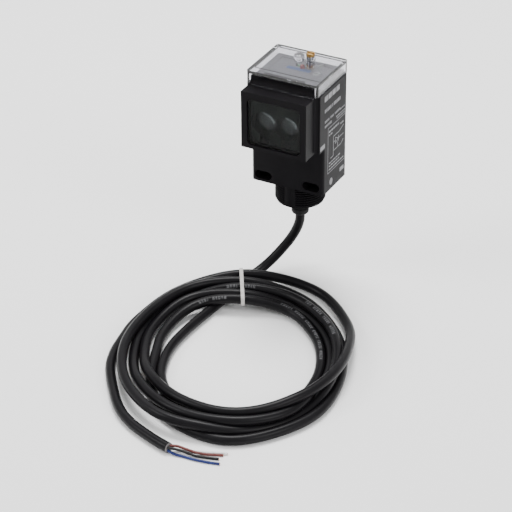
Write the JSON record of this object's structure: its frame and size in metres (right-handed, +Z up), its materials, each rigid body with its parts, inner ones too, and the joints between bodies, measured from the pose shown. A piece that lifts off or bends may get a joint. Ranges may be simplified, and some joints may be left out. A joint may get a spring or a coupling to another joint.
{
  "type": "photoelectric sensor",
  "caption": "Black box sensor with a smoked optic window, clear lift-off top cover, slotted and threaded base, and a coiled lead with bared wire ends.",
  "frame": {"origin": "on the axis of the threaded boss, at the underside of the body that seats on a panel", "axes": "+Z up along the boss axis towards the clear cover, -Y the way the optics look, +X towards the printed side"},
  "size_m": [0.146, 0.2121, 0.1441],
  "materials": {
    "body_plastic": "moulded satin black",
    "holder_plastic": "moulded dark grey",
    "seal_rubber": "moulded rubber",
    "smoked_window": "smoked, polished",
    "clear_lens": "polished",
    "emitter_resin": "cast resin",
    "dark_resin": "moulded epoxy",
    "circuit_board": "green solder mask",
    "zinc_steel": "zinc plated",
    "flex_film": "amber film",
    "capacitor_can": "sleeved can",
    "white_nylon": "natural nylon",
    "red_led": "tinted resin",
    "green_led": "tinted resin",
    "blue_resin": "moulded",
    "plate_grey": "light grey, satin",
    "brass": "turned, dulled",
    "clear_plastic": "clear, polished",
    "cable_jacket": "satin black jacket",
    "tie_wrap": "dull white coated wire",
    "brown_wire": "extruded",
    "white_wire": "extruded",
    "black_wire": "extruded",
    "blue_wire": "extruded"
  },
  "bodies": {
    "body": {"base_block": "body_plastic", "base_seal": "seal_rubber", "housing": "body_plastic", "window": "smoked_window", "window_gasket": "seal_rubber", "lens_holder": "holder_plastic", "emitter_lens": "clear_lens", "receiver_lens": "clear_lens", "emitter_led": "emitter_resin", "receiver_diode": "dark_resin", "optic_board": "circuit_board", "board_screws": "zinc_steel", "flex_link": "flex_film", "main_board": "circuit_board", "output_module": "dark_resin", "filter_capacitor": "capacitor_can", "board_chips": "dark_resin", "terminal_header": "white_nylon", "board_link": "dark_resin", "top_board": "circuit_board", "output_led": "red_led", "power_led": "green_led", "sensitivity_pot": "blue_resin", "mode_switch": "white_nylon", "top_plate": "plate_grey", "screw_insert": "brass", "cover_gasket": "seal_rubber", "strain_relief": "seal_rubber", "cable_clamp": "holder_plastic", "boss_potting": "dark_resin", "inner_leads": "brown_wire", "cable_entry": "cable_jacket", "cable_lead": "cable_jacket", "cable_coil": "cable_jacket", "cable_tail": "cable_jacket", "cable_tie": "tie_wrap", "wire_brown": "brown_wire", "wire_white": "white_wire", "wire_black": "black_wire", "wire_blue": "blue_wire"},
    "cover": {"clear_cover": "clear_plastic", "indicator_dome": "clear_plastic"},
    "screw": {"cover_screw": "brass"},
    "dial": {"sensitivity_dial": "white_nylon"},
    "selector": {"mode_selector": "dark_resin"}
  },
  "joints": [
    {"name": "cover_lift", "type": "slide", "parent": "body", "child": "cover", "axis": [0, 0, 1], "range_m": [0, 0.03]},
    {"name": "screw_turn", "type": "hinge", "parent": "cover", "child": "screw", "pos_m": [0.0037, 0.0045, 0.077], "axis": [0, 0, 1], "continuous": true},
    {"name": "sensitivity_turn", "type": "hinge", "parent": "body", "child": "dial", "pos_m": [0.0108, -0.0018, 0.067], "axis": [0, 0, 1], "range_deg": [-135, 135]},
    {"name": "mode_turn", "type": "hinge", "parent": "body", "child": "selector", "pos_m": [0.0084, 0.0092, 0.067], "axis": [0, 0, 1], "range_deg": [0, 90]}
  ]
}
